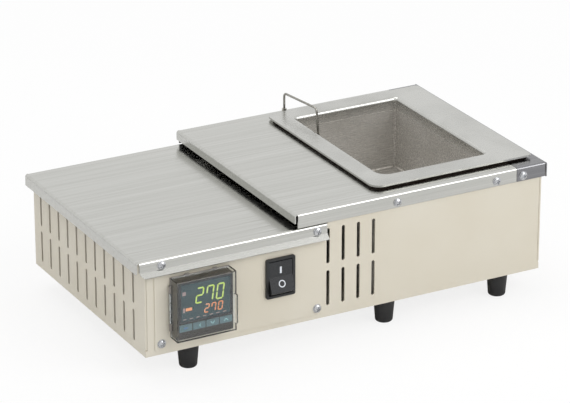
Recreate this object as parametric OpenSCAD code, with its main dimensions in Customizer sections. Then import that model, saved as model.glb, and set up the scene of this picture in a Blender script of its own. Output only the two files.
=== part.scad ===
// Bench solder pot: low control section on the left, square solder bath on the right.
// Millimetres. X runs along the front from left to right, the front faces -Y, Z is up.
// The feet stand on Z = 0 and the origin is under the middle of the whole object.

/* [Chassis] */
// Length of the sheet steel chassis along the front
chassis_w = 350; // [320:1:380]
// Depth of the chassis from front to back
chassis_d = 200; // [180:1:220]
// Height from the chassis floor to the top of the low cover
low_h = 79; // [74:0.5:84]
// Height from the chassis floor to the top of the high cover
high_h = 91; // [88:0.5:96]
// Thickness of the chassis sheet
sheet_t = 1.2; // [1:0.1:1.6]
// Thickness of the stainless covers
cover_t = 1.0; // [0.8:0.1:1.2]
// Outside bend radius of the covers
cover_bend_r = 2.4; // [2:0.1:3]

/* [Covers] */
// How far the low cover stands out past the left end
left_overhang = 7; // [5:0.5:8]
// How far the end cover stands out past the right end
right_overhang = 5; // [4:0.5:7]
// Distance from the left end to the right edge of the low cover
low_cover_x1 = 155; // [150:1:158]
// Distance from the left end to the left flange of the high cover
high_cover_x0 = 127.5; // [122:0.5:134]
// Distance from the left end to the seam between high cover and end cover
end_seam_x = 326; // [322:1:330]
// Width of the seam between high cover and end cover
seam_w = 0.4; // [0.3:0.1:0.8]
// Height of the front flange of the high cover
high_flange_h = 11.5; // [10:0.5:11.5]
// Height of the left flange of the high cover, above the open gap
gap_flange_h = 7.7; // [6:0.1:9]
// Height of the left flange of the low cover
low_side_flange_h = 9.4; // [8:0.1:12]
// Height of the upright part of the low cover's front flange
low_flange_h = 8.2; // [7:0.1:10]
// How far the drip lip of the low cover stands out
lip_out = 3.8; // [2:0.1:5]
// Corner radius at the left end of the drip lip
lip_corner_r = 5; // [3:0.5:5.5]

/* [Vents] */
// Number of slot columns on the left end
end_slot_n = 11; // [9:1:11]
// Pitch of the slot columns on the left end
end_slot_pitch = 16.7; // [15:0.1:17.5]
// Distance of the first slot column from the front face
end_slot_y0 = 19.7; // [16:0.1:24]
// Length of the slots on the left end
end_slot_len = 26; // [22:0.5:27]
// Number of slot columns on the front
front_slot_n = 4; // [2:1:5]
// Pitch of the slot columns on the front
front_slot_pitch = 13.35; // [12:0.05:14]
// Distance of the first front slot column from the left end
front_slot_x0 = 156.7; // [156.5:0.1:158]
// Length of the slots on the front
front_slot_len = 29.4; // [26:0.2:30]
// Width of every ventilation slot
slot_w = 2.9; // [2.4:0.1:3.4]

/* [Control panel] */
// Thickness of the control panel plate
panel_t = 0.8; // [0.6:0.1:1.2]
// Left edge of the panel plate
panel_x0 = 7.8; // [6:0.1:9]
// Right edge of the panel plate
panel_x1 = 152; // [151:0.1:153]
// Lower edge of the panel plate above the chassis floor
panel_z0 = 4.3; // [3:0.1:5]
// Height of the panel screws above the chassis floor
panel_screw_z = 9.2; // [8.8:0.1:9.4]

/* [Temperature controller] */
// Left side of the clear cover
ctl_x = 20.4; // [19:0.1:22]
// Underside of the clear cover
ctl_z = 13; // [12.9:0.1:13.4]
// Outside width of the clear cover
ctl_w = 50; // [49:0.1:50.4]
// Outside height of the clear cover
ctl_h = 49; // [48:0.1:49.6]
// How far the clear cover stands out from the panel
ctl_out = 12.5; // [11:0.1:13]
// Wall thickness of the clear cover
clear_t = 1.0; // [0.8:0.1:1.2]
// Depth of the controller case behind the panel
ctl_depth = 60; // [50:1:78]
// Travel of the four keys
key_travel = 0.4; // [0.2:0.1:0.4]

/* [Power switch] */
// Middle of the switch from the left end
switch_x = 114.1; // [112:0.1:118]
// Middle of the switch above the chassis floor
switch_z = 43.1; // [41:0.1:45]
// Width of the switch bezel
switch_w = 25; // [24:0.1:26]
// Height of the switch bezel
switch_h = 32.6; // [31.4:0.1:33]
// Half of the angle that the rocker swings through
rocker_half_angle = 11.5; // [9:0.5:12]

/* [Solder bath] */
// Left inner wall of the bath from the left end
bath_x0 = 221.7; // [219:0.1:224]
// Inside length of the bath
bath_w = 95.8; // [92:0.1:97]
// Front inner wall of the bath from the front face
bath_y0 = 31.5; // [29:0.1:34]
// Inside width of the bath
bath_d = 141.3; // [136:0.1:143]
// Inside depth of the bath below the top of its rim
bath_depth = 61.5; // [50:0.5:62]
// Wall thickness of the bath
bath_t = 1.5; // [1.2:0.1:2]
// Radius of the rolled edge between the rim and the bath walls
bath_roll_r = 3; // [2:0.1:3.4]
// Left edge of the rim
rim_x0 = 203.7; // [202:0.1:206]
// Right edge of the rim
rim_x1 = 348; // [346:0.1:350]
// Front edge of the rim
rim_y0 = 11.5; // [10:0.1:13]
// Back edge of the rim
rim_y1 = 189.5; // [187:0.1:190]
// Thickness of the rim
rim_t = 1.5; // [1.2:0.1:2]
// Thickness of the fibre gasket under the rim
gasket_t = 2; // [1.5:0.1:2.5]

/* [Temperature probe] */
// Diameter of the probe sheath
probe_d = 1.9; // [1.5:0.1:2.2]
// Height of the probe's bridge above the high cover
probe_rise = 16; // [13:0.5:20]
// Bend radius of the probe's centre line
probe_bend_r = 3; // [2.5:0.1:4]

/* [Feet] */
// Height of the rubber feet
foot_h = 20; // [16:0.5:22]
// Radius of the feet at the top
foot_r_top = 8.6; // [7.5:0.1:9.5]
// Radius of the feet at the bottom
foot_r_low = 7.1; // [6.5:0.1:8]
// Distance of the foot rows from the front and back faces
foot_inset_y = 11; // [10:0.5:16]

/* [Hidden] */
$fn = 48;
eps = 0.01;

head_r = 3.1;
head_h = 2.4;
shank_r = 1.9;
hole_r = 2.1;
thread_r = 1.92;

x_min = -left_overhang;
x_max = chassis_w + right_overhang;
y_min = -panel_t - ctl_out;
y_max = chassis_d + cover_t + head_h;
cx = (x_min + x_max) / 2;
cy = (y_min + y_max) / 2;

bend_room = 1.8;
step_x = low_cover_x1 + 1;
low_in = low_h - cover_t;
high_in = high_h - cover_t;
low_face = -panel_t - cover_t;
low_flange_z = low_h - low_flange_h;
low_screw_z = low_flange_z + head_r + 0.1;
high_screw_z = 83.7;
screw_x_low = [13.6, 146.3];
screw_x_high = [217.4, 307.6];
screw_x_end = 332.1;
foot_x = [41, 213.5, 318];

front_z_low = 24.2;
front_z_up = 59.3;
end_z_low = 19.8;
end_z_up = 50.8;

rim_top = high_h + gasket_t + rim_t;
bath_floor = rim_top - bath_depth;
bath_x1 = bath_x0 + bath_w;
bath_y1 = bath_y0 + bath_d;
collar = bath_roll_r + bath_t;
strip_t = 3;
clamp_t = 4;
heater_top = bath_floor - bath_t;
clamp_top = heater_top - strip_t;
clamp_low = clamp_top - clamp_t;

face = -panel_t;
frame_t = 1.2;
bezel_back = face - frame_t;
bezel_x0 = ctl_x + clear_t + 0.3;
bezel_x1 = ctl_x + ctl_w - clear_t - 1.4;
bezel_z0 = ctl_z + clear_t + 0.3;
bezel_z1 = ctl_z + ctl_h - clear_t - 0.3;
bezel_front = face - ctl_out + clear_t + 0.7;
glass_front = bezel_front - 0.3;
glass_x0 = bezel_x0 + 0.8;
glass_x1 = bezel_x1 - 0.8;
glass_z0 = bezel_z0 + 12.9;
glass_z1 = bezel_z1 - 0.5;
key_z0 = bezel_z0 + 6.2;
key_z1 = glass_z0 - 0.8;
key_gap = 0.5;
key_play = 0.15;
key_w = (glass_x1 - glass_x0 - 3 * key_gap) / 4;
hinge_r = 1.3;
pin_r = 0.6;
hinge_x = ctl_x - 0.3;
hinge_y = face - hinge_r - 0.3;
hinge_z = [ctl_z + 6, ctl_z + 12, ctl_z + ctl_h - 12, ctl_z + ctl_h - 6];

pivot_y = 1.6;
rocker_r = 14;
rocker_face = 4;
bezel_out = 2;

probe_x0 = 225;
probe_y0 = 196.4;
probe_x1 = 231.4;
probe_y1 = 153;
probe_top = high_h + probe_rise;

inlet_x = 60;
inlet_z = 36;
gear_r = 1.5;
gear_at = [[60, 88], [60, 152], [114, 163], [111, 118]];

inlet_pin_at = [[-7, -2], [0, 2], [7, -2]];

sw_in_w = switch_w - 4.4;
sw_in_h = switch_h - 4;
sw_body_w = sw_in_w + 1.6;
sw_body_h = sw_in_h + 1.4;
sw_back = 16;

bath_r = [9, 3, 2, 3];

module place() {
    translate([-cx, -cy, foot_h]) children();
}

// a plate or block between two corners
module block(a, b) {
    translate(a) cube([b[0] - a[0], b[1] - a[1], b[2] - a[2]]);
}

// outline with its own radius at each corner: front-left, front-right, back-right, back-left
module plan(x0, y0, x1, y1, r) {
    difference() {
        translate([x0, y0]) square([x1 - x0, y1 - y0]);
        if (r[0] > 0) translate([x0, y0]) corner_cut(r[0]);
        if (r[1] > 0) translate([x1, y0]) rotate(90) corner_cut(r[1]);
        if (r[2] > 0) translate([x1, y1]) rotate(180) corner_cut(r[2]);
        if (r[3] > 0) translate([x0, y1]) rotate(270) corner_cut(r[3]);
    }
}

module corner_cut(r) {
    difference() {
        translate([-1, -1]) square([r + 1, r + 1]);
        translate([r, r]) circle(r);
    }
}

module slot2d(w, len) {
    square([w, len - w], center = true);
    translate([0, (len - w) / 2]) circle(w / 2);
    translate([0, -(len - w) / 2]) circle(w / 2);
}

// a bore along Y, opening through a wall at the front
module bore_y(x, y0, y1, z, r) {
    translate([x, y0, z]) rotate([-90, 0, 0]) cylinder(r = r, h = y1 - y0);
}

// ---------------------------------------------------------------- chassis

// outline shared by the front and back walls, kept below the bends of the covers
module wall_outline() {
    square([chassis_w, low_in - bend_room]);
    translate([step_x, 0]) square([chassis_w - step_x, high_in - bend_room]);
}

// outline of an end wall; its upper edge carries a cover between the two bends
module end_outline(h) {
    square([chassis_d, h - bend_room]);
    translate([2.4, 0]) square([chassis_d - 4.8, h]);
}

module front_wall_shape() {
    difference() {
        wall_outline();
        translate([panel_x0 + 3, 12.5]) square([panel_x1 - panel_x0 - 9, 56.5]);
        for (i = [0:front_slot_n - 1]) {
            translate([front_slot_x0 + i * front_slot_pitch, front_z_low]) slot2d(slot_w, front_slot_len);
            translate([front_slot_x0 + i * front_slot_pitch, front_z_up]) slot2d(slot_w, front_slot_len);
        }
        for (x = screw_x_low) translate([x, low_screw_z]) circle(thread_r);
        for (x = [13.1, 146.6]) translate([x, panel_screw_z]) circle(thread_r);
        for (x = screw_x_high) translate([x, high_screw_z]) circle(thread_r);
        translate([screw_x_end, high_screw_z]) circle(thread_r);
    }
}

module back_wall_shape() {
    difference() {
        wall_outline();
        translate([inlet_x - 13.8, inlet_z - 10.2]) square([27.6, 20.4]);
        for (x = screw_x_low) translate([x, low_screw_z]) circle(thread_r);
        for (x = screw_x_high) translate([x, high_screw_z]) circle(thread_r);
        translate([screw_x_end, high_screw_z]) circle(thread_r);
    }
}

module chassis() {
    color("#cfc8b6") place() difference() {
        union() {
            difference() {
                cube([chassis_w, chassis_d, sheet_t]);
                for (x = foot_x) foot_pair(x) translate([0, 0, -1]) cylinder(r = 1.8, h = 4);
                for (p = gear_at) translate([p[0], p[1], -1]) cylinder(r = gear_r, h = 4);
            }
            translate([0, sheet_t, 0]) rotate([90, 0, 0]) linear_extrude(sheet_t) front_wall_shape();
            translate([0, chassis_d, 0]) rotate([90, 0, 0]) linear_extrude(sheet_t) back_wall_shape();
            rotate([90, 0, 90]) linear_extrude(sheet_t) difference() {
                end_outline(low_in);
                for (i = [0:end_slot_n - 1]) {
                    translate([end_slot_y0 + i * end_slot_pitch, end_z_low]) slot2d(slot_w, end_slot_len);
                    translate([end_slot_y0 + i * end_slot_pitch, end_z_up]) slot2d(slot_w, end_slot_len);
                }
            }
            translate([chassis_w - sheet_t, 0, 0]) rotate([90, 0, 90]) linear_extrude(sheet_t)
                end_outline(high_in);
        }
        // open corner seams of the folded sheet, each ending in a relief notch
        block([sheet_t, -1, 6.4], [sheet_t + 0.45, 0.6, high_h]);
        block([-1, -1, 5], [sheet_t + 0.5, 0.9, 6.5]);
        block([chassis_w - sheet_t - 0.45, -1, 6.4], [chassis_w - sheet_t, 0.6, high_h]);
        block([chassis_w - sheet_t - 0.5, -1, 5], [chassis_w + 1, 0.9, 6.5]);
    }
}

module divider() {
    color("#8f9296") place() {
        block([149.2, sheet_t, sheet_t], [150.4, chassis_d - sheet_t - 1.2, low_in]);
        block([150.4, sheet_t + 12, sheet_t], [162, chassis_d - sheet_t - 12, 2 * sheet_t]);
    }
}

module control_panel() {
    color("#d6cfbf") place() rotate([90, 0, 0]) linear_extrude(panel_t) difference() {
        translate([panel_x0, panel_z0]) square([panel_x1 - panel_x0, low_in - bend_room - panel_z0]);
        translate([bezel_x0 + 0.6, bezel_z0 + 0.6])
            square([bezel_x1 - bezel_x0 - 1.2, bezel_z1 - bezel_z0 - 1.2]);
        translate([switch_x, switch_z]) square([sw_body_w + 0.2, sw_body_h + 0.2], center = true);
        for (x = screw_x_low) translate([x, low_screw_z]) circle(hole_r);
        for (x = [13.1, 146.6]) translate([x, panel_screw_z]) circle(hole_r);
    }
}

// ---------------------------------------------------------------- covers

// quarter of a folded sheet, outside corner towards -Y and +Z, in the YZ plane
module fold2d(r, t) {
    intersection() {
        translate([-r, 0]) square([r, r]);
        difference() {
            circle(r);
            circle(r - t);
        }
    }
}

// section of a cover across its depth: top sheet, front bend and flange, back bend and flange
module cover_section(y_front, y_back, top, front_low, back_low) {
    r = cover_bend_r;
    t = cover_t;
    translate([y_front + r, top - t]) square([y_back - y_front - 2 * r, t]);
    translate([y_front + r, top - r]) fold2d(r, t);
    translate([y_back - r, top - r]) mirror([1, 0]) fold2d(r, t);
    translate([y_front, front_low]) square([t, top - r - front_low]);
    translate([y_back - t, back_low]) square([t, top - r - back_low]);
}

// extrudes a YZ section along X
module along_x(x0, x1) {
    translate([x0, 0, 0]) rotate([90, 0, 90]) linear_extrude(x1 - x0) children();
}

// a side flange with its bend, on the side given by dir, outer face at x
module side_flange(x, dir, y0, y1, top, h) {
    r = cover_bend_r;
    t = cover_t;
    translate([x, y1, 0]) mirror([dir < 0 ? 1 : 0, 0, 0]) rotate([90, 0, 0]) linear_extrude(y1 - y0) {
        translate([r, top - r]) fold2d(r, t);
        translate([0, top - h]) square([t, h - r]);
    }
}

module lower_cover() {
    x0 = x_min;
    r = cover_bend_r;
    y1 = chassis_d + cover_t;
    color("#c9cac6") place() difference() {
        union() {
            // top sheet with its bends, kept back from the corner by the relief
            along_x(x0 + r, low_cover_x1) cover_section(low_face, y1, low_h, low_flange_z, low_flange_z - 4);
            side_flange(x0, 1, low_face + 1.2, y1 - 1.2, low_h, low_side_flange_h);
            drip_lip(x0 + r);
        }
        for (x = screw_x_low) {
            bore_y(x, low_face - 1, 1, low_screw_z, hole_r);
            bore_y(x, chassis_d - 1, y1 + 1, low_screw_z, hole_r);
        }
    }
}

// front flange's lip, kicked outwards, with a rounded lower left corner
module drip_lip(x0) {
    t = cover_t;
    h = 4;
    intersection() {
        along_x(x0, low_cover_x1) polygon([
            [low_face, low_flange_z], [low_face + t, low_flange_z],
            [low_face + t - lip_out, low_flange_z - h], [low_face + t * 0.3 - lip_out, low_flange_z - h],
            [low_face - lip_out, low_flange_z - h + 0.5]]);
        translate([0, 5, 0]) rotate([90, 0, 0]) linear_extrude(20)
            plan(x0, low_flange_z - h, low_cover_x1, low_flange_z + 3, [lip_corner_r, 0, 0, 0]);
    }
}

module upper_cover() {
    x0 = high_cover_x0;
    x1 = end_seam_x;
    r = cover_bend_r;
    color("#c9cac6") place() difference() {
        union() {
            along_x(x0 + r, x1) cover_section(-cover_t, chassis_d + cover_t, high_h,
                high_h - high_flange_h, high_h - high_flange_h);
            side_flange(x0, 1, 0, chassis_d, high_h, gap_flange_h);
        }
        block([bath_x0 - collar - 1.5, bath_y0 - collar - 1.5, high_in - 1],
            [end_seam_x - 1.5, bath_y1 + collar + 1.5, high_h + 1]);
        for (x = screw_x_high) {
            bore_y(x, -3, 1, high_screw_z, hole_r);
            bore_y(x, chassis_d - 1, chassis_d + 3, high_screw_z, hole_r);
        }
        translate([probe_x0, probe_y0, high_in - 1]) cylinder(r = 1.75, h = 4);
    }
}

module end_cover() {
    x0 = end_seam_x + seam_w;
    x1 = x_max;
    r = cover_bend_r;
    color("#8c8d8f") place() difference() {
        union() {
            along_x(x0, x1 - r) cover_section(-cover_t, chassis_d + cover_t, high_h,
                high_h - high_flange_h, high_h - high_flange_h);
            side_flange(x1, -1, 0, chassis_d, high_h, high_flange_h + 1);
        }
        bore_y(screw_x_end, -3, 1, high_screw_z, hole_r);
        bore_y(screw_x_end, chassis_d - 1, chassis_d + 3, high_screw_z, hole_r);
    }
}

// pan head screw with a cross recess; head towards +Z, underside at z = 0
module pan_screw(r, h, sr, len) {
    difference() {
        union() {
            intersection() {
                cylinder(r = r, h = h);
                translate([0, 0, h - r * 1.55]) sphere(r * 1.55);
            }
            translate([0, 0, -len]) cylinder(r = sr, h = len);
        }
        block([-r * 0.62, -r * 0.13, h - 1.3], [r * 0.62, r * 0.13, h + 1]);
        block([-r * 0.13, -r * 0.62, h - 1.3], [r * 0.13, r * 0.62, h + 1]);
    }
}

module screw_front(x, y, z, len, turn) {
    translate([x, y, z]) rotate([90, 0, 0]) rotate([0, 0, turn]) pan_screw(head_r, head_h, shank_r, len);
}

module screw_back(x, y, z, len, turn) {
    translate([x, y, z]) rotate([-90, 0, 0]) rotate([0, 0, turn]) pan_screw(head_r, head_h, shank_r, len);
}

module cover_screws() {
    color("#b9bbbc") place() {
        for (i = [0, 1]) {
            screw_front(screw_x_low[i], low_face, low_screw_z, 6, 20 + 50 * i);
            screw_back(screw_x_low[i], chassis_d + cover_t, low_screw_z, 6, 35 * i);
            screw_front(screw_x_high[i], -cover_t, high_screw_z, 6, 40 - 25 * i);
            screw_back(screw_x_high[i], chassis_d + cover_t, high_screw_z, 6, 10 + 30 * i);
        }
        screw_front(screw_x_end, -cover_t, high_screw_z, 6, 12);
        screw_back(screw_x_end, chassis_d + cover_t, high_screw_z, 6, 60);
    }
}

module panel_screws() {
    color("#b9bbbc") place() {
        screw_front(13.1, face, panel_screw_z, 5, 30);
        screw_front(146.6, face, panel_screw_z, 5, 65);
    }
}

// ---------------------------------------------------------------- solder bath

module bath_plan(grow) {
    plan(bath_x0 - grow, bath_y0 - grow, bath_x1 + grow, bath_y1 + grow,
        [bath_r[0] + grow, bath_r[1] + grow, bath_r[2] + grow, bath_r[3] + grow]);
}

// material taken off the straight upper edge of one wall
module edge_round(len) {
    r = bath_roll_r;
    rotate([90, 0, 90]) linear_extrude(len) difference() {
        translate([-eps, -r]) square([r + eps, r + 1]);
        translate([r, -r]) circle(r);
    }
}

// the same at a vertical corner of radius rc, its centre at the origin
module corner_round(rc) {
    r = bath_roll_r;
    rotate_extrude(angle = 90) difference() {
        translate([rc - eps, -r]) square([r + eps, r + 1]);
        translate([rc + r, -r]) circle(r);
    }
}

module bath_rounding() {
    r = bath_r;
    translate([0, 0, rim_top]) {
        translate([bath_x1 - r[2], bath_y1, 0]) mirror([1, 0, 0]) edge_round(bath_w - r[2] - r[3]);
        translate([bath_x0 + r[0], bath_y0, 0]) mirror([0, 1, 0]) edge_round(bath_w - r[0] - r[1]);
        translate([bath_x0, bath_y0 + r[0], 0]) rotate([0, 0, 90]) edge_round(bath_d - r[0] - r[3]);
        translate([bath_x1, bath_y1 - r[2], 0]) rotate([0, 0, -90]) edge_round(bath_d - r[1] - r[2]);
        translate([bath_x0 + r[0], bath_y0 + r[0], 0]) rotate([0, 0, 180]) corner_round(r[0]);
        translate([bath_x1 - r[1], bath_y0 + r[1], 0]) rotate([0, 0, 270]) corner_round(r[1]);
        translate([bath_x1 - r[2], bath_y1 - r[2], 0]) corner_round(r[2]);
        translate([bath_x0 + r[3], bath_y1 - r[3], 0]) rotate([0, 0, 90]) corner_round(r[3]);
    }
}

module solder_bath() {
    color("#b9b7b2") place() {
        difference() {
            union() {
                translate([0, 0, rim_top - rim_t]) linear_extrude(rim_t)
                    plan(rim_x0, rim_y0, rim_x1, rim_y1, [9, 3, 3, 8]);
                translate([0, 0, rim_top - collar]) linear_extrude(collar) bath_plan(collar);
                translate([0, 0, bath_floor - bath_t]) linear_extrude(bath_depth + bath_t - 1)
                    bath_plan(bath_t);
            }
            translate([0, 0, bath_floor]) linear_extrude(bath_depth + 1) bath_plan(0);
            bath_rounding();
            // fine joint line where the rim's skirt is welded to the bath
            translate([0, 0, rim_top - 10.4]) linear_extrude(0.6) bath_plan(0.35);
        }
        // weld bead down the back right corner
        translate([bath_x1 - 0.5, bath_y1 - 0.5, bath_floor - 0.5]) cylinder(r = 0.8, h = bath_depth - 5);
    }
}

module bath_gasket() {
    color("#3b3733") place() translate([0, 0, high_h]) linear_extrude(gasket_t) difference() {
        plan(rim_x0 + 3, rim_y0 + 3, rim_x1 - 2.5, rim_y1 - 3, [7, 2, 2, 6]);
        bath_plan(collar + 0.5);
    }
}

module insulation() {
    color("#e9e6dd") place() difference() {
        block([198.5, 8, sheet_t], [346, 192, 88]);
        block([bath_x0 - bath_t, bath_y0 - bath_t, clamp_low], [bath_x1 + bath_t, bath_y1 + bath_t, 89]);
        // room for the heater terminals and the foot screw nuts
        block([bath_x0 + 4, 7, clamp_low + 3], [bath_x1 - 4, bath_y0, heater_top]);
        for (x = foot_x) foot_pair(x) cylinder(r = 7, h = 12);
    }
}

module heater_strips() {
    color("#6d6a66") place() for (i = [0:1]) {
        x0 = bath_x0 + 7.9 + i * 42;
        block([x0, bath_y0 + 4, clamp_top], [x0 + 38, bath_y1 - 4, heater_top]);
        for (k = [0, 1]) {
            block([x0 + 8 + 18 * k, 14, clamp_top + 1], [x0 + 12 + 18 * k, bath_y0 + 4, clamp_top + 2]);
        }
    }
}

module heater_clamp_plate() {
    color("#8b8d90") place()
        block([bath_x0 + 1, bath_y0 + 1, clamp_low], [bath_x1 - 1, bath_y1 - 1, clamp_top]);
}

// ---------------------------------------------------------------- temperature probe

module probe_path() {
    dx = probe_x1 - probe_x0;
    dy = probe_y1 - probe_y0;
    span = sqrt(dx * dx + dy * dy);
    r = probe_bend_r;
    lean = 7;
    rp = probe_d / 2;
    // drawn in its own plane: u along the bridge, z up
    translate([probe_x0, probe_y0, 0]) rotate([90, 0, atan2(dy, dx)]) {
        translate([0, 70, 0]) rotate([-90, 0, 0]) cylinder(r = rp, h = probe_top - 70 - r);
        translate([r, probe_top - r, 0]) rotate([0, 0, 90]) bend(r, rp, 90);
        translate([r, probe_top, 0]) rotate([0, 90, 0]) cylinder(r = rp, h = span - r - r * 1.0);
        // the bend runs a hair past the end of the bridge so that the two fuse
        translate([span - r, probe_top - r, 0]) rotate([0, 0, lean]) bend(r, rp, 90 - lean + 0.002);
        translate([span - r, probe_top - r, 0]) rotate([0, 0, lean])
            translate([r, 0, 0]) rotate([90, 0, 0]) cylinder(r = rp, h = 58);
    }
}

// part of a torus in the XY plane from angle 0 to the given angle
module bend(r, rp, angle) {
    rotate_extrude(angle = angle) translate([r, 0]) circle(rp, $fn = 24);
}

module temperature_probe() {
    color("#a7a59f") place() probe_path();
}

module probe_ferrule() {
    color("#c8c6bf") place() difference() {
        union() {
            translate([probe_x0, probe_y0, high_in - 6]) cylinder(r = 1.7, h = 7);
            translate([probe_x0, probe_y0, high_h]) cylinder(r = 2.1, h = 2.6);
        }
        translate([probe_x0, probe_y0, high_in - 8]) cylinder(r = probe_d / 2, h = 14);
    }
}

// ---------------------------------------------------------------- temperature controller

module key_x(i) {
    translate([glass_x0 + i * (key_w + key_gap), 0, 0]) children();
}

module controller_case() {
    color("#2e2b29") place() difference() {
        union() {
            block([bezel_x0, bezel_front, bezel_z0], [bezel_x1, bezel_back, bezel_z1]);
            block([bezel_x0 + 0.8, bezel_back, bezel_z0 + 0.8], [bezel_x1 - 0.8, ctl_depth, bezel_z1 - 0.8]);
        }
        // seat of the window, key pockets and the slit in the top edge
        block([glass_x0, bezel_front - 1, glass_z0], [glass_x1, bezel_front + 1.2, glass_z1]);
        for (i = [0:3]) key_x(i) {
            block([0, bezel_front - 1, key_z0], [key_w, bezel_front + 1.8, key_z1]);
            bore_y(key_w / 2, bezel_front + 1, bezel_front + 4.4, (key_z0 + key_z1) / 2, 1.25);
        }
        block([ctl_x + 20.2, face - 6.6, bezel_z1 - 0.6], [ctl_x + 29.4, face - 5, bezel_z1 + 1]);
        // vents in the sides of the case behind the panel
        for (i = [0:5]) {
            block([bezel_x0, 18 + 6 * i, bezel_z1 - 1.6], [bezel_x1, 20.5 + 6 * i, bezel_z1]);
        }
    }
}

module display_window() {
    color("#10222a") place() block([glass_x0 + 0.05, glass_front, glass_z0 + 0.05],
        [glass_x1 - 0.05, bezel_front + 1.2, glass_z1 - 0.05]);
}

// a point of a figure, moved to the right as it rises so that the figure leans
function lean(p) = [p[0] + p[1] * tan(8), p[1]];

// a bar with pointed ends between two points, along X or along Z
module bar2(p, q, s, g) {
    h = s / 2;
    flat = [[p[0] + g, p[1]], [p[0] + g + h, p[1] + h], [q[0] - g - h, p[1] + h],
        [q[0] - g, p[1]], [q[0] - g - h, p[1] - h], [p[0] + g + h, p[1] - h]];
    tall = [[p[0], p[1] + g], [p[0] + h, p[1] + g + h], [p[0] + h, q[1] - g - h],
        [p[0], q[1] - g], [p[0] - h, q[1] - g - h], [p[0] - h, p[1] + g + h]];
    polygon([for (v = p[1] == q[1] ? flat : tall) lean(v)]);
}

// one seven segment figure; segs is a list of the lit bars
module figure(w, h, s, segs) {
    g = s * 0.12;
    d = s * 0.5;
    for (k = segs) {
        if (k == "a") bar2([d, h - d], [w - d, h - d], s, g);
        if (k == "g") bar2([d, h / 2], [w - d, h / 2], s, g);
        if (k == "d") bar2([d, d], [w - d, d], s, g);
        if (k == "f") bar2([d, h / 2], [d, h - d], s, g);
        if (k == "b") bar2([w - d, h / 2], [w - d, h - d], s, g);
        if (k == "e") bar2([d, d], [d, h / 2], s, g);
        if (k == "c") bar2([w - d, d], [w - d, h / 2], s, g);
    }
}

// figures on the window, lower left corner at x, z
module figures(x, z, w, h, s, pitch, list) {
    translate([x, glass_front, z]) rotate([90, 0, 0]) linear_extrude(0.12)
        for (i = [0:len(list) - 1]) translate([i * pitch, 0]) figure(w, h, s, list[i]);
}

two = ["a", "b", "g", "e", "d"];
seven = ["f", "a", "b", "c"];
nought = ["a", "b", "c", "d", "e", "f"];

module process_digits() {
    color("#c8dc3c") place()
        figures(ctl_x + 15.4, ctl_z + 28.6, 6.4, 13, 1.15, 8.6, [two, seven, nought]);
}

module setpoint_digits() {
    color("#ee8a3a") place() {
        figures(ctl_x + 22.8, ctl_z + 19.6, 4.1, 7.3, 0.85, 5.7, [two, seven, nought]);
        block([ctl_x + 7.6, glass_front - 0.12, ctl_z + 24.2], [ctl_x + 12.9, glass_front, ctl_z + 26.6]);
    }
}

module ctl_key(i) {
    place() key_x(i) {
        block([key_play, glass_front, key_z0 + key_play],
            [key_w - key_play, bezel_front + 0.9, key_z1 - key_play]);
        bore_y(key_w / 2, bezel_front + 0.8, bezel_front + 3.4, (key_z0 + key_z1) / 2, 1.2);
    }
}

module key_function() {
    color("#5f7f9c") ctl_key(0);
}

module key_shift() {
    color("#8fa0a6") ctl_key(1);
}

module key_down() {
    color("#8fa0a6") ctl_key(2);
}

module key_up() {
    color("#8fa0a6") ctl_key(3);
}

module controller_clamp() {
    color("#3a3a3a") place() difference() {
        block([bezel_x0 - 1.5, 0, bezel_z0 - 1.2], [bezel_x1 + 1.5, 9, bezel_z1 + 1.2]);
        block([bezel_x0 + 0.8, -1, bezel_z0 + 0.8], [bezel_x1 - 0.8, 10, bezel_z1 - 0.8]);
    }
}

module hinge_axis() {
    translate([hinge_x, hinge_y, 0]) children();
}

module cover_frame() {
    color("#9a9690") place() difference() {
        union() {
            block([ctl_x, bezel_back, ctl_z], [ctl_x + ctl_w, face, ctl_z + ctl_h]);
            for (k = [0, 2]) hinge_axis() translate([0, 0, hinge_z[k]])
                cylinder(r = hinge_r, h = hinge_z[k + 1] - hinge_z[k]);
            for (x = [12.6, 36.1]) block([ctl_x + x, bezel_back, ctl_z + ctl_h - 1],
                [ctl_x + x + 3.6, face, ctl_z + ctl_h + 0.9]);
        }
        block([bezel_x0 + 0.8, bezel_back - 1, bezel_z0 + 0.8], [bezel_x1 - 0.8, face + 1, bezel_z1 - 0.8]);
        hinge_axis() translate([0, 0, hinge_z[0] - 1]) cylinder(r = pin_r, h = hinge_z[3] - hinge_z[0] + 2);
        hinge_axis() translate([0, 0, hinge_z[1]]) cylinder(r = hinge_r + 0.3, h = hinge_z[2] - hinge_z[1]);
    }
}

module cover_hinge_pin() {
    color("#b5b7b8") place() hinge_axis() translate([0, 0, hinge_z[0]])
        cylinder(r = pin_r, h = hinge_z[3] - hinge_z[0]);
}

module clear_cover() {
    back = bezel_back - 0.3;
    front = face - ctl_out;
    color("#cfd4d2", 0.5) place() difference() {
        union() {
            difference() {
                block([ctl_x, front, ctl_z], [ctl_x + ctl_w, back, ctl_z + ctl_h]);
                block([ctl_x + clear_t, front + clear_t, ctl_z + clear_t],
                    [ctl_x + ctl_w - clear_t, back + 1, ctl_z + ctl_h - clear_t]);
                for (k = [0, 2]) hinge_axis() translate([0, 0, hinge_z[k] - 0.3])
                    cylinder(r = hinge_r + 0.3, h = hinge_z[k + 1] - hinge_z[k] + 0.6);
            }
            hinge_axis() translate([0, 0, hinge_z[1] + 0.3])
                cylinder(r = hinge_r, h = hinge_z[2] - hinge_z[1] - 0.6);
            // finger grip on the opening side
            block([ctl_x + ctl_w - 0.2, front, ctl_z + 5.3], [ctl_x + ctl_w + 1.2, front + 4, ctl_z + 29]);
        }
        hinge_axis() translate([0, 0, hinge_z[1]]) cylinder(r = pin_r + 0.05, h = hinge_z[2] - hinge_z[1]);
    }
}

// ---------------------------------------------------------------- power switch

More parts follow.
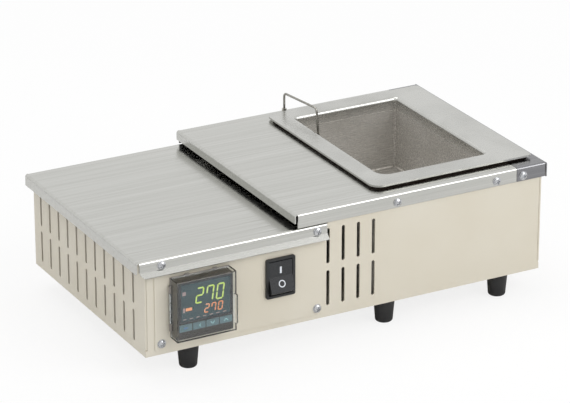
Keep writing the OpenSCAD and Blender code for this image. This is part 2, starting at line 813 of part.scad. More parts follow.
module switch_housing() {
    w = switch_w / 2;
    h = switch_h / 2;
    color("#17181a") place() translate([switch_x, 0, switch_z]) difference() {
        union() {
            translate([0, face, 0]) rotate([90, 0, 0]) linear_extrude(bezel_out)
                plan(-w, -h, w, h, [1.5, 1.5, 1.5, 1.5]);
            block([-sw_body_w / 2, face, -sw_body_h / 2], [sw_body_w / 2, sw_back, sw_body_h / 2]);
        }
        block([-sw_in_w / 2, face - 5, -sw_in_h / 2], [sw_in_w / 2, sw_back - 3, sw_in_h / 2]);
        translate([-sw_body_w, pivot_y, 0]) rotate([0, 90, 0]) cylinder(r = 1.56, h = 2 * sw_body_w);
    }
}

// rocker outline across its axle; -X is outwards here, +Y is up
module rocker_section() {
    v = rocker_face / cos(rocker_half_angle);
    e = 13.5;
    o = v + e * tan(rocker_half_angle);
    intersection() {
        polygon([[-v, 0], [-o, e], [2.5, e], [5, 6], [5, -6], [2.5, -e], [-o, -e]]);
        circle(rocker_r, $fn = 96);
    }
}

module rocker_place() {
    translate([switch_x, pivot_y, switch_z]) rotate([-rocker_half_angle, 0, 0]) children();
}

module switch_rocker() {
    w = sw_in_w / 2 - 0.2;
    color("#232427") place() rocker_place() {
        translate([-w, 0, 0]) rotate([90, 0, 90]) linear_extrude(2 * w) rocker_section();
        translate([-w - 0.8, 0, 0]) rotate([0, 90, 0]) cylinder(r = 1.5, h = 2 * w + 1.6);
    }
}

module rocker_marks() {
    a = rocker_half_angle;
    color("#e8eaec") place() rocker_place() {
        rotate([a, 0, 0]) translate([0, -rocker_face, 6.2]) rotate([90, 0, 0]) linear_extrude(0.12)
            square([1.6, 5.4], center = true);
        rotate([-a, 0, 0]) translate([0, -rocker_face, -6.6]) rotate([90, 0, 0]) linear_extrude(0.12)
            difference() {
                circle(2.9);
                circle(2.05);
            }
    }
}

module switch_terminals() {
    color("#c9a84c") place() translate([switch_x, sw_back, switch_z])
        for (x = [-5, 5], z = [-8, 8]) block([x - 0.4, 0, z - 2.4], [x + 0.4, 10, z + 2.4]);
}

// ---------------------------------------------------------------- mains and control gear

// threaded holes that the gear screws enter from below
module gear_bores() {
    for (p = gear_at) translate([p[0], p[1], -1]) cylinder(r = gear_r, h = 7.5);
}

module power_inlet() {
    color("#1c1d1f") place() translate([inlet_x, 0, inlet_z]) difference() {
        union() {
            translate([0, chassis_d + 2.8, 0]) rotate([90, 0, 0]) linear_extrude(2.8)
                plan(-15.5, -12, 15.5, 12, [2, 2, 2, 2]);
            block([-13.5, chassis_d - 17, -10], [13.5, chassis_d, 10]);
        }
        translate([0, chassis_d + 4, 0]) rotate([90, 0, 0]) linear_extrude(17)
            plan(-11.8, -8, 11.8, 8, [1, 1, 3.5, 3.5]);
        inlet_blades();
    }
}

// earth blade in the middle, line and neutral on the outside
module inlet_blades() {
    for (p = inlet_pin_at) block([p[0] - 1, chassis_d - 18, p[1] - 2], [p[0] + 1, chassis_d - 1, p[1] + 2]);
}

module inlet_pins() {
    color("#c9cbcd") place() translate([inlet_x, 0, inlet_z]) {
        inlet_blades();
        for (p = inlet_pin_at)
            block([p[0] - 0.4, chassis_d - 27, p[1] - 2.4], [p[0] + 0.4, chassis_d - 18, p[1] + 2.4]);
    }
}

module relay_heatsink() {
    color("#a9acaf") place() difference() {
        union() {
            block([32, 84, sheet_t], [86, 156, sheet_t + 5.3]);
            for (i = [0:5]) block([32 + i * 3, 84, sheet_t + 5.3], [33.2 + i * 3, 156, sheet_t + 24]);
        }
        gear_bores();
    }
}

module relay() {
    z = sheet_t + 5.3;
    color("#26282b") place() {
        block([51, 92, z], [84, 148, z + 20]);
        for (y = [94, 138]) block([54, y, z + 20], [81, y + 8, z + 23]);
    }
}

module terminal_block() {
    color("#ded9cb") place() difference() {
        block([104, 142, sheet_t], [124, 184, sheet_t + 20]);
        for (i = [0:3]) {
            block([103, 144 + i * 10, sheet_t + 9], [109, 150 + i * 10, sheet_t + 17]);
            block([119, 144 + i * 10, sheet_t + 9], [125, 150 + i * 10, sheet_t + 17]);
        }
        gear_bores();
    }
}

module fuse_holder() {
    color("#3b3d40") place() difference() {
        union() {
            block([104, 100, sheet_t], [118, 136, sheet_t + 8]);
            bore_y(111, 104, 132, sheet_t + 10.2, 3.2);
        }
        gear_bores();
    }
}

module gear_screws() {
    color("#b9bbbc") place() for (p = gear_at) translate([p[0], p[1], 0]) rotate([180, 0, 0])
        pan_screw(2.8, 2, gear_r, 6);
}

// ---------------------------------------------------------------- feet

module foot_pair(x) {
    for (y = [foot_inset_y, chassis_d - foot_inset_y]) translate([x, y, 0]) children();
}

module rubber_feet() {
    r = 2;
    color("#161617") place() for (x = foot_x) foot_pair(x) translate([0, 0, -foot_h]) rotate_extrude() {
        difference() {
            polygon([[0, 0], [foot_r_low - r, 0], [foot_r_low, r], [foot_r_top, foot_h], [0, foot_h]]);
            square([4.2, 8]);
            square([1.8, foot_h + 1]);
        }
        translate([foot_r_low - r, r]) intersection() {
            circle(r);
            translate([0, -r]) square([r, r]);
        }
    }
}

module foot_screws() {
    color("#b9bbbc") place() for (x = foot_x) foot_pair(x) translate([0, 0, 8 - foot_h]) rotate([180, 0, 0])
        pan_screw(3.3, 2.2, 1.6, foot_h - 8 + 6);
}

module foot_nuts() {
    color("#b9bbbc") place() for (x = foot_x) foot_pair(x) translate([0, 0, sheet_t]) difference() {
        cylinder(r = 3.6, h = 2.6, $fn = 6);
        translate([0, 0, -1]) cylinder(r = 1.62, h = 5);
    }
}

chassis();
divider();
control_panel();
lower_cover();
upper_cover();
end_cover();
solder_bath();
bath_gasket();
insulation();
heater_strips();
heater_clamp_plate();
temperature_probe();
probe_ferrule();
controller_case();
display_window();
process_digits();
setpoint_digits();
key_function();
key_shift();
key_down();
key_up();
controller_clamp();
cover_frame();
cover_hinge_pin();
clear_cover();
switch_housing();
switch_rocker();
rocker_marks();
switch_terminals();
power_inlet();
inlet_pins();
relay();
relay_heatsink();
terminal_block();
fuse_holder();
gear_screws();
rubber_feet();
foot_screws();
foot_nuts();
cover_screws();
panel_screws();
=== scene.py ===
"""Looks of a bench solder pot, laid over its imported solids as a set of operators.

Every piece is made in metres, in the frame of the solids: X along the front,
Y from the front to the back, Z up, the feet on Z = 0.
"""

import math

import bmesh
import bpy
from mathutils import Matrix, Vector


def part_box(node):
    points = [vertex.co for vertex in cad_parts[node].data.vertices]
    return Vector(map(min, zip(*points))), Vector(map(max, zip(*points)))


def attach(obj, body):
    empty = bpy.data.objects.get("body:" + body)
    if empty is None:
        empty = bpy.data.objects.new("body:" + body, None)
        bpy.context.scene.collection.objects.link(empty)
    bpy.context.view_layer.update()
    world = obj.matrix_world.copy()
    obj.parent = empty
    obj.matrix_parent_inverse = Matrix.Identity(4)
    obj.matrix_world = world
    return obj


bl_info = {
    "name": "Bench solder pot",
    "version": (1, 0, 0),
    "blender": (4, 5, 0),
    "location": "View3D > Sidebar > Solder pot",
    "description": "Finishes and fine pieces of a bench solder pot",
    "category": "Add Mesh",
}

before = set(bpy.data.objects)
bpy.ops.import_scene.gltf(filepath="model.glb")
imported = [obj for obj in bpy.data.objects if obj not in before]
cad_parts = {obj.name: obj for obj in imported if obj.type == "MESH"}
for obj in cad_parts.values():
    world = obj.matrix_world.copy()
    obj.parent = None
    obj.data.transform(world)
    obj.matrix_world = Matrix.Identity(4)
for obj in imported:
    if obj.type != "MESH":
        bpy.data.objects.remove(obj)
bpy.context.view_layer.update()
CASE = "case"
MM = 0.001
# front of the display window and the keys, in millimetres from the case's front face
GLASS_Y = -11.9


# ---------------------------------------------------------------- small tools


def linear(code):
    """sRGB hex, such as 'd8d2c2', as linear RGBA."""
    out = []
    for i in (0, 2, 4):
        c = int(code[i : i + 2], 16) / 255
        out.append(c / 12.92 if c <= 0.04045 else ((c + 0.055) / 1.055) ** 2.4)
    return (*out, 1.0)


def add(tree, kind, ins=None, **settings):
    """Adds a node; ins maps input names or numbers to values or sockets."""
    node = tree.nodes.new(kind)
    for key, value in settings.items():
        setattr(node, key, value)
    for key, value in (ins or {}).items():
        if isinstance(value, bpy.types.NodeSocket):
            tree.links.new(value, node.inputs[key])
        else:
            node.inputs[key].default_value = value
    return node


def new_material(name):
    """An empty node material with its output; returns material, tree, output."""
    mat = bpy.data.materials.new(name)
    mat.use_nodes = True
    mat.node_tree.nodes.clear()
    out = add(mat.node_tree, "ShaderNodeOutputMaterial")
    return mat, mat.node_tree, out


def grain(tree, size_mm, detail=2.0, roughness=0.5):
    """Noise on object coordinates; size_mm is its cell size along X, Y and Z."""
    coord = add(tree, "ShaderNodeTexCoord")
    scale = tuple(1000.0 / s for s in size_mm)
    place = add(tree, "ShaderNodeMapping", {"Vector": coord.outputs["Object"], "Scale": scale})
    return add(tree, "ShaderNodeTexNoise",
               {"Vector": place.outputs[0], "Scale": 1.0, "Detail": detail, "Roughness": roughness}).outputs["Fac"]


def spread(tree, fac, low, high, out_low, out_high):
    """A factor stretched from one range to another."""
    return add(tree, "ShaderNodeMapRange", {"Value": fac, "From Min": low, "From Max": high,
                                            "To Min": out_low, "To Max": out_high}).outputs[0]


def blend_colour(tree, fac, one, two):
    """Two colours mixed by a factor; each is a hex code or a socket."""
    node = add(tree, "ShaderNodeMix", data_type="RGBA")
    tree.links.new(fac, node.inputs["Factor"]) if isinstance(fac, bpy.types.NodeSocket) else None
    for socket, value in ((node.inputs[6], one), (node.inputs[7], two)):
        if isinstance(value, bpy.types.NodeSocket):
            tree.links.new(value, socket)
        else:
            socket.default_value = linear(value)
    return node.outputs[2]


def relief(tree, height, depth_mm, strength=1.0, normal=None):
    """Bump from a height socket, depth in millimetres."""
    ins = {"Height": height, "Distance": depth_mm * MM, "Strength": strength}
    if normal:
        ins["Normal"] = normal
    return add(tree, "ShaderNodeBump", ins).outputs["Normal"]


def dress(node, mat):
    """Gives a solid of the frame a better material."""
    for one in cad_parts[node].material_slots:
        one.material = mat


def finish_piece(bm, name, mat, body=CASE, smooth=True):
    """Turns a bmesh into a piece that rides on a body."""
    mesh = bpy.data.meshes.new(name)
    bmesh.ops.recalc_face_normals(bm, faces=bm.faces)
    bm.to_mesh(mesh)
    bm.free()
    for p in mesh.polygons:
        p.use_smooth = smooth
    if mat:
        mesh.materials.append(mat)
    obj = bpy.data.objects.new(name, mesh)
    bpy.context.scene.collection.objects.link(obj)
    if body:
        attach(obj, body)
    return obj


def at(x, y, z):
    """A point in millimetres from the case's left front lower corner, in metres."""
    return Vector(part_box("chassis")[0]) + Vector((x, y, z)) * MM


def slab(bm, x0, x1, z0, z1, y, thick, slant=0.0):
    """A thin plate facing the front, in millimetres; slant leans its ends."""
    ring = ((x0, z0), (x1, z0), (x1 + slant, z1), (x0 + slant, z1))
    front = [bm.verts.new(at(x, y - thick, z)) for x, z in ring]
    back = [bm.verts.new(at(x, y, z)) for x, z in ring]
    bm.faces.new(front)
    bm.faces.new(back[::-1])
    for i in range(4):
        j = (i + 1) % 4
        bm.faces.new((front[i], back[i], back[j], front[j]))


def print_piece(name, mat, y, boxes, body=CASE, thick=0.03):
    """Fields of printed colour on a face that looks to the front."""
    bm = bmesh.new()
    for box in boxes:
        slab(bm, *box[:4], y, thick, *box[4:])
    return finish_piece(bm, name, mat, body=body, smooth=False)


def ink(name, code, other, rough=0.35):
    # screen printed ink: thin, even, with faint mottling
    mat, t, out = new_material(name)
    cloud = grain(t, (4, 4, 4), 3)
    colour = blend_colour(t, spread(t, cloud, 0.3, 0.7, 0, 1), code, other)
    shader = add(t, "ShaderNodeBsdfPrincipled", {
        "Base Color": colour, "Roughness": spread(t, cloud, 0.3, 0.7, rough, rough + 0.08), "IOR": 1.5})
    t.links.new(shader.outputs[0], out.inputs[0])
    return mat


# ---------------------------------------------------------------- materials


def powder_coated_steel():
    # baked powder coat on folded steel: even satin with a faint orange peel
    mat, t, out = new_material("powder_coated_steel")
    look = bpy.context.scene.pot_case
    cloud = grain(t, (60, 60, 60), 3)
    colour = blend_colour(t, spread(t, cloud, 0.3, 0.7, 0, 1), look.paint, look.paint_shade)
    peel = grain(t, (0.9, 0.9, 0.9), 2)
    rough = spread(t, grain(t, (18, 18, 18), 3), 0.3, 0.7, 0.40, 0.48)
    shader = add(t, "ShaderNodeBsdfPrincipled", {
        "Base Color": colour, "Roughness": rough, "IOR": 1.5, "Specular IOR Level": 0.5,
        "Normal": relief(t, peel, 0.012)})
    t.links.new(shader.outputs[0], out.inputs[0])
    return mat


def brushed_stainless(name, light, dark, rough, streak=0.35, length=70.0, along="X", depth=0.0006):
    # cold rolled sheet with a belt-ground finish: long fine lines along one
    # direction, stretched highlights across them; real lines are 0.05 mm wide
    # and are drawn about seven times coarser so that they show
    mat, t, out = new_material(name)
    size = {"X": (length, streak, streak), "Y": (streak, length, streak)}[along]
    wide = {"X": (length * 3, streak * 7, streak * 7), "Y": (streak * 7, length * 3, streak * 7)}[along]
    fine = grain(t, size, 5, 0.65)
    broad = grain(t, wide, 3, 0.6)
    mixed = add(t, "ShaderNodeMath", {0: fine, 1: broad}, operation="ADD").outputs[0]
    colour = blend_colour(t, spread(t, mixed, 0.75, 1.25, 0, 1), dark, light)
    shade = spread(t, mixed, 0.75, 1.25, rough + 0.06, rough - 0.04)
    tangent = add(t, "ShaderNodeCombineXYZ", {0: 1.0 if along == "X" else 0.0, 1: 0.0 if along == "X" else 1.0})
    shader = add(t, "ShaderNodeBsdfPrincipled", {
        "Base Color": colour, "Metallic": 1.0, "Roughness": shade, "Anisotropic": 0.55,
        "Tangent": tangent.outputs[0], "Normal": relief(t, fine, depth)})
    t.links.new(shader.outputs[0], out.inputs[0])
    return mat


def welded_bath_steel():
    # stainless sheet pressed and welded: a soft grain, cloudy patches, and a lighter, warmer and less metallic tone
    # lower down in the bath
    mat, t, out = new_material("welded_bath_steel")
    fine = grain(t, (14, 1.2, 1.2), 4, 0.6)
    cloud = grain(t, (45, 45, 30), 4, 0.55)
    coord = add(t, "ShaderNodeTexCoord")
    parts = add(t, "ShaderNodeSeparateXYZ", {0: coord.outputs["Object"]})
    rim_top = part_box("solder_bath")[1].z
    deep = spread(t, parts.outputs[2], rim_top - 12 * MM, rim_top - 1 * MM, 1.0, 0.0)
    rim = blend_colour(t, spread(t, cloud, 0.35, 0.65, 0, 1), "b4b4b0", "c2c2be")
    inner = blend_colour(t, spread(t, cloud, 0.35, 0.65, 0, 1), "c2bfb9", "d0cdc8")
    colour = blend_colour(t, deep, rim, inner)
    rough = spread(t, fine, 0.3, 0.7, 0.23, 0.31)
    shader = add(t, "ShaderNodeBsdfPrincipled", {
        "Base Color": colour, "Metallic": spread(t, deep, 0.0, 1.0, 0.95, 0.45), "Roughness": rough,
        "Normal": relief(t, fine, 0.0015)})
    t.links.new(shader.outputs[0], out.inputs[0])
    return mat


def turned_steel(name, light, dark, rough=0.3):
    # zinc or nickel plated small parts: bright, a little cloudy
    mat, t, out = new_material(name)
    cloud = grain(t, (2.5, 2.5, 2.5), 3)
    colour = blend_colour(t, spread(t, cloud, 0.3, 0.7, 0, 1), dark, light)
    shader = add(t, "ShaderNodeBsdfPrincipled", {
        "Base Color": colour, "Metallic": 1.0, "Roughness": spread(t, cloud, 0.3, 0.7, rough + 0.05, rough - 0.05),
        "Normal": relief(t, grain(t, (0.4, 0.4, 0.4), 2), 0.002)})
    t.links.new(shader.outputs[0], out.inputs[0])
    return mat


def moulded_plastic(name, main, other, rough=0.4, grit=0.5, depth=0.004, spec=0.5):
    # injection moulded: spark-eroded mould texture, even colour
    mat, t, out = new_material(name)
    cloud = grain(t, (12, 12, 12), 3)
    fine = grain(t, (grit, grit, grit), 2)
    colour = blend_colour(t, spread(t, cloud, 0.3, 0.7, 0, 1), main, other)
    shader = add(t, "ShaderNodeBsdfPrincipled", {
        "Base Color": colour, "Roughness": spread(t, fine, 0.3, 0.7, rough - 0.04, rough + 0.05),
        "IOR": 1.5, "Specular IOR Level": spec, "Normal": relief(t, fine, depth)})
    t.links.new(shader.outputs[0], out.inputs[0])
    return mat


def black_rubber():
    # moulded rubber foot: dull, with a fine matt skin
    mat, t, out = new_material("black_rubber")
    fine = grain(t, (0.6, 0.6, 0.6), 3)
    cloud = grain(t, (9, 9, 9), 3)
    colour = blend_colour(t, spread(t, cloud, 0.3, 0.7, 0, 1), "121213", "1d1d1e")
    shader = add(t, "ShaderNodeBsdfPrincipled", {
        "Base Color": colour, "Roughness": spread(t, fine, 0.3, 0.7, 0.45, 0.6), "IOR": 1.5,
        "Normal": relief(t, fine, 0.02)})
    t.links.new(shader.outputs[0], out.inputs[0])
    return mat


def clear_acrylic():
    # clear moulded acrylic: polished faces, lit through for shadow rays
    mat, t, out = new_material("clear_acrylic")
    wave = grain(t, (14, 14, 14), 2)
    glass = add(t, "ShaderNodeBsdfPrincipled", {
        "Base Color": linear("f4f6f5"), "Roughness": 0.03, "IOR": 1.45, "Transmission Weight": 1.0,
        "Normal": relief(t, wave, 0.004)})
    clear = add(t, "ShaderNodeBsdfTransparent")
    path = add(t, "ShaderNodeLightPath")
    mix = add(t, "ShaderNodeMixShader", {0: path.outputs["Is Shadow Ray"], 1: glass.outputs[0], 2: clear.outputs[0]})
    t.links.new(mix.outputs[0], out.inputs[0])
    return mat


def lit_figures(name, code, strength):
    # back-lit liquid crystal segment: glows evenly, its colour a little uneven
    mat, t, out = new_material(name)
    cloud = grain(t, (3, 3, 3), 2)
    colour = blend_colour(t, spread(t, cloud, 0.3, 0.7, 0.0, 0.25), code, "ffffff")
    shader = add(t, "ShaderNodeBsdfPrincipled", {
        "Base Color": linear("101010"), "Roughness": 0.4, "Emission Color": colour, "Emission Strength": strength})
    t.links.new(shader.outputs[0], out.inputs[0])
    return mat


def dark_window():
    # smoked display window: deep blue-green, glossy
    mat, t, out = new_material("smoked_window")
    cloud = grain(t, (20, 20, 20), 2)
    colour = blend_colour(t, spread(t, cloud, 0.3, 0.7, 0, 1), "0b1a24", "0f212c")
    shader = add(t, "ShaderNodeBsdfPrincipled", {"Base Color": colour, "Roughness": 0.18, "IOR": 1.5})
    t.links.new(shader.outputs[0], out.inputs[0])
    return mat


def fibre(name, main, other):
    # pressed fibre sheet: matt, short felted hairs
    mat, t, out = new_material(name)
    hair = grain(t, (0.5, 0.5, 0.5), 5, 0.7)
    colour = blend_colour(t, spread(t, hair, 0.3, 0.7, 0, 1), main, other)
    shader = add(t, "ShaderNodeBsdfPrincipled", {"Base Color": colour, "Roughness": 0.9, "Normal": relief(t, hair, 0.05)})
    t.links.new(shader.outputs[0], out.inputs[0])
    return mat


# ---------------------------------------------------------------- geometry nodes


def seat_tree():
    """A part set on every vertex of a mesh, turned to face the vertex's
    'facing' vector and spun by its 'spin' angle; returned as one solid mesh."""
    tree = bpy.data.node_groups.new("seated parts", "GeometryNodeTree")
    face = tree.interface
    face.new_socket("Geometry", in_out="INPUT", socket_type="NodeSocketGeometry")
    face.new_socket("Part", in_out="INPUT", socket_type="NodeSocketObject")
    face.new_socket("Size", in_out="INPUT", socket_type="NodeSocketFloat").default_value = 1.0
    face.new_socket("Material", in_out="INPUT", socket_type="NodeSocketMaterial")
    face.new_socket("Geometry", in_out="OUTPUT", socket_type="NodeSocketGeometry")
    inp, out = add(tree, "NodeGroupInput"), add(tree, "NodeGroupOutput")
    part = add(tree, "GeometryNodeObjectInfo", {"Object": inp.outputs["Part"]})
    facing = add(tree, "GeometryNodeInputNamedAttribute", {"Name": "facing"}, data_type="FLOAT_VECTOR")
    spin = add(tree, "GeometryNodeInputNamedAttribute", {"Name": "spin"}, data_type="FLOAT")
    aim = add(tree, "FunctionNodeAlignRotationToVector", {"Vector": facing.outputs["Attribute"]}, axis="Z")
    roll = add(tree, "FunctionNodeAxisAngleToRotation", {"Axis": (0, 0, 1), "Angle": spin.outputs["Attribute"]})
    both = add(tree, "FunctionNodeRotateRotation",
               {"Rotation": aim.outputs[0], "Rotate By": roll.outputs[0]}, rotation_space="LOCAL")
    put = add(tree, "GeometryNodeInstanceOnPoints",
              {"Points": inp.outputs["Geometry"], "Instance": part.outputs["Geometry"], "Rotation": both.outputs[0],
               "Scale": inp.outputs["Size"]})
    real = add(tree, "GeometryNodeRealizeInstances", {0: put.outputs[0]})
    coat = add(tree, "GeometryNodeSetMaterial", {"Geometry": real.outputs[0], "Material": inp.outputs["Material"]})
    tree.links.new(coat.outputs[0], out.inputs[0])
    return tree


def socket_id(tree, name):
    for item in tree.interface.items_tree:
        if item.item_type == "SOCKET" and item.in_out == "INPUT" and item.name == name:
            return item.identifier
    raise RuntimeError("no input named " + name)


def run_tree(tree, name, mesh, inputs):
    """Runs a geometry node tree on a mesh and keeps the result as a plain mesh."""
    host = bpy.data.objects.new(name + "_host", mesh)
    bpy.context.scene.collection.objects.link(host)
    mod = host.modifiers.new("made", "NODES")
    mod.node_group = tree
    for key, value in inputs.items():
        mod[socket_id(tree, key)] = value
    host.update_tag()
    bpy.context.view_layer.update()
    ready = host.evaluated_get(bpy.context.evaluated_depsgraph_get())
    made = bpy.data.meshes.new_from_object(ready)
    host.modifiers.remove(mod)
    bpy.data.objects.remove(host)
    if not made.polygons:
        raise RuntimeError("the tree made no faces for " + name)
    for p in made.polygons:
        p.use_smooth = True
    obj = bpy.data.objects.new(name, made)
    made.name = name
    bpy.context.scene.collection.objects.link(obj)
    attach(obj, CASE)
    return obj


def seats(points):
    """A mesh of loose vertices; each point is (place, facing, spin)."""
    mesh = bpy.data.meshes.new("seats")
    mesh.from_pydata([p[0] for p in points], [], [])
    facing = mesh.attributes.new("facing", "FLOAT_VECTOR", "POINT")
    facing.data.foreach_set("vector", [v for p in points for v in p[1]])
    spin = mesh.attributes.new("spin", "FLOAT", "POINT")
    spin.data.foreach_set("value", [p[2] for p in points])
    return mesh


def turned_part(name, profile, steps=40):
    """A closed turned shape about Z from (radius, height) pairs, as a master part."""
    bm = bmesh.new()
    ring = [bm.verts.new((r, 0, z)) for r, z in profile]
    edges = [bm.edges.new(pair) for pair in zip(ring, ring[1:])]
    bmesh.ops.spin(bm, geom=ring + edges, axis=(0, 0, 1), cent=(0, 0, 0), steps=steps, angle=math.tau)
    bmesh.ops.remove_doubles(bm, verts=bm.verts, dist=1e-7)
    bmesh.ops.recalc_face_normals(bm, faces=bm.faces)
    mesh = bpy.data.meshes.new(name)
    bm.to_mesh(mesh)
    bm.free()
    obj = bpy.data.objects.new(name, mesh)
    bpy.context.scene.collection.objects.link(obj)
    return obj


# ---------------------------------------------------------------- properties


class PotCaseProps(bpy.types.PropertyGroup):
    paint: bpy.props.StringProperty(name="Paint", description="Main colour of the case, sRGB hex", default="dcd6c7")
    paint_shade: bpy.props.StringProperty(name="Paint shade", description="Second tone of the case", default="d8d1c0")
    cover_light: bpy.props.StringProperty(name="Cover light", description="Light streaks of the covers", default="c6c6c2")
    cover_dark: bpy.props.StringProperty(name="Cover dark", description="Dark streaks of the covers", default="b6b6b1")
    cover_rough: bpy.props.FloatProperty(name="Cover roughness", description="Roughness of the brushed covers",
                                         default=0.2, min=0.05, max=0.8, subtype="FACTOR")


class PotScrewProps(bpy.types.PropertyGroup):
    head: bpy.props.FloatProperty(name="Head radius", description="Radius of the screw heads",
                                  default=2.65 * MM, unit="LENGTH")
    washer: bpy.props.FloatProperty(name="Washer radius", description="Radius of the washer under each head",
                                    default=3.1 * MM, unit="LENGTH")


class PotStageProps(bpy.types.PropertyGroup):
    azimuth: bpy.props.FloatProperty(name="Azimuth", description="Camera's angle round the pot",
                                     default=math.radians(-28.5), subtype="ANGLE")
    elevation: bpy.props.FloatProperty(name="Elevation", description="Camera's angle above the bench",
                                       default=math.radians(22.66), subtype="ANGLE")
    distance: bpy.props.FloatProperty(name="Distance", description="Camera's distance from the pot",
                                      default=2.45704, unit="LENGTH")
    lens: bpy.props.FloatProperty(name="Lens", description="Focal length in millimetres on a 36 mm sensor", default=195.1)
    key: bpy.props.FloatProperty(name="Key light", description="Power of the main lamp in watts", default=16.5)
    air: bpy.props.FloatProperty(name="Ambient", description="Strength of the light from all round", default=0.6)


# ---------------------------------------------------------------- operators


class POT_OT_case(bpy.types.Operator):
    """Coats the folded case and its control panel"""
    bl_idname = "pot.case"
    bl_label = "Case and panel"

    def execute(self, context):
        coat = powder_coated_steel()
        dress("chassis", coat)
        dress("control_panel", coat)
        dress("divider", turned_steel("galvanised_sheet", "9fa2a6", "8b8e92", 0.45))
        return {"FINISHED"}


class POT_OT_covers(bpy.types.Operator):
    """Brushes the stainless covers"""
    bl_idname = "pot.covers"
    bl_label = "Covers"

    def execute(self, context):
        look = context.scene.pot_case
        sheet = brushed_stainless("brushed_stainless", look.cover_light, look.cover_dark, look.cover_rough)
        dress("lower_cover", sheet)
        dress("upper_cover", sheet)
        dress("end_cover", brushed_stainless("brushed_stainless_end", "8b8b8d", "7a7a7d", 0.22))
        return {"FINISHED"}


class POT_OT_bath(bpy.types.Operator):
    """Finishes the welded bath, its gasket and the weld in its corner"""
    bl_idname = "pot.bath"
    bl_label = "Solder bath"

    def execute(self, context):
        steel = welded_bath_steel()
        dress("solder_bath", steel)
        # the gasket's dark brown is partly its own fibre and partly painted shade: it is darkened to stand for the
        # shadow in the gap under the rim
        dress("bath_gasket", fibre("fibre_and_painted_gap_shade", "2c221d", "43352d"))
        self.weld()
        dress("insulation", fibre("ceramic_fibre", "e4e1d8", "f3f1ea"))
        dress("heater_strips", turned_steel("heater_jacket", "77736e", "5f5b57", 0.5))
        dress("heater_clamp_plate", turned_steel("mild_steel_plate", "8f9194", "7b7d80", 0.45))
        return {"FINISHED"}

    def weld(self):
        # overlapping drops, as a hand-laid bead sets: along the floor's back and
        # right edges and up the folded corner
        wall_x, wall_y, floor, top = 317.2, 172.5, 33.2, 86.0
        pitch, rise = 1.1, 48
        drops = []
        for i in range(82):
            drops.append((at(226 + i * pitch, wall_y, floor), Vector((0, -1, 1)), i * 2.1))
        for i in range(118):
            drops.append((at(wall_x, 42 + i * pitch, floor), Vector((-1, 0, 1)), i * 1.7))
        for i in range(rise):
            height = floor + 1 + i * (top - floor) / rise
            drops.append((at(wall_x, wall_y, height), Vector((-1, -1, 0.4)), i * 1.3))
        drop = turned_part("drop", [(0, -0.8 * MM), (0.75 * MM, -0.55 * MM), (0.95 * MM, 0), (0.7 * MM, 0.5 * MM),
                                    (0, 0.62 * MM)], 10)
        run_tree(seat_tree(), "weld_bead", seats(drops),
                 {"Part": drop, "Size": 1.0, "Material": turned_steel("weld_metal", "e6e3dd", "c9c4bc", 0.3)})
        bpy.data.objects.remove(drop)


class POT_OT_probe(bpy.types.Operator):
    """Finishes the bent temperature probe and its ferrule"""
    bl_idname = "pot.probe"
    bl_label = "Temperature probe"

    def execute(self, context):
        dress("temperature_probe", turned_steel("drawn_stainless_sheath", "a5a39d", "85837d", 0.28))
        dress("probe_ferrule", turned_steel("nickel_plated_ferrule", "cfcdc6", "b7b5ae", 0.25))
        return {"FINISHED"}


class POT_OT_controller(bpy.types.Operator):
    """Builds the temperature controller's face and finishes its case"""
    bl_idname = "pot.controller"
    bl_label = "Temperature controller"

    def execute(self, context):
        case = moulded_plastic("moulded_case_plastic", "26211e", "302b27", 0.35)
        dress("controller_case", case)
        dress("controller_clamp", case)
        dress("display_window", dark_window())
        dress("process_digits", lit_figures("green_segments", "c3e02c", 1.0))
        dress("setpoint_digits", lit_figures("orange_segments", "f08a2c", 1.0))
        grey = moulded_plastic("grey_key_rubber", "5b767d", "66828a", 0.5)
        for key in ("key_function", "key_shift", "key_down", "key_up"):
            dress(key, grey)
        self.face()
        self.legends()
        dress("cover_frame", moulded_plastic("smoked_frame_plastic", "8b857f", "9a948e", 0.35))
        dress("cover_hinge_pin", turned_steel("hinge_wire", "c2c3c4", "a5a6a8", 0.25))
        dress("clear_cover", clear_acrylic())
        return {"FINISHED"}

    def face(self):
        print_piece("display_field", ink("teal_field_ink", "26434a", "2b4a51"), GLASS_Y, [(24.4, 65.2, 29.2, 58.6)])
        marks = [(25.6 + i * 5.6, 28.4 + i * 5.6, 30.2, 30.9) for i in range(7)]
        marks += [(25.4, 28.2, 50.2, 53.2), (25.8, 27.4, 36.2, 40.0)]
        print_piece("display_marks", ink("pale_pink_ink", "b09a98", "a58f8e"), GLASS_Y - 0.03, marks)

    def legends(self):
        blue = ink("blue_key_ink", "4f7fb8", "5a88be")
        pale = ink("cyan_key_ink", "9fd4dc", "aadbe2")
        z, s = 23.45, 0.7
        # the chevrons' arms are leaning bars
        for name, mat, body, bars in (
            ("key_function_mark", blue, "key_1", [(26.6, 29.2, z - s, z + s), (26.2, 29.6, z - 0.4, z + 0.4)]),
            ("key_shift_mark", pale, "key_2", [(39.0, 39.7, z, z + 1.2, 1.2), (40.2, 40.9, z - 1.2, z, -1.2)]),
            ("key_down_mark", pale, "key_3", [(50.2, 50.9, z - 1, z + 1, -1.6), (50.2, 50.9, z - 1, z + 1, 1.6)]),
            ("key_up_mark", pale, "key_4", [(59.9, 60.6, z - 1, z + 1, 1.6), (63.1, 63.8, z - 1, z + 1, -1.6)]),
        ):
            print_piece(name, mat, GLASS_Y, bars, body)


class POT_OT_switch(bpy.types.Operator):
    """Finishes the rocker switch"""
    bl_idname = "pot.switch"
    bl_label = "Rocker switch"

    def execute(self, context):
        dress("switch_housing", moulded_plastic("moulded_black_nylon", "141516", "1b1c1e", 0.42))
        dress("switch_rocker", moulded_plastic("polished_black_nylon", "1c1e21", "232528", 0.28))
        dress("rocker_marks", moulded_plastic("white_pad_print", "e9edf2", "dfe4ea", 0.5))
        dress("switch_terminals", turned_steel("plain_brass", "d0b062", "b8984e", 0.3))
        return {"FINISHED"}


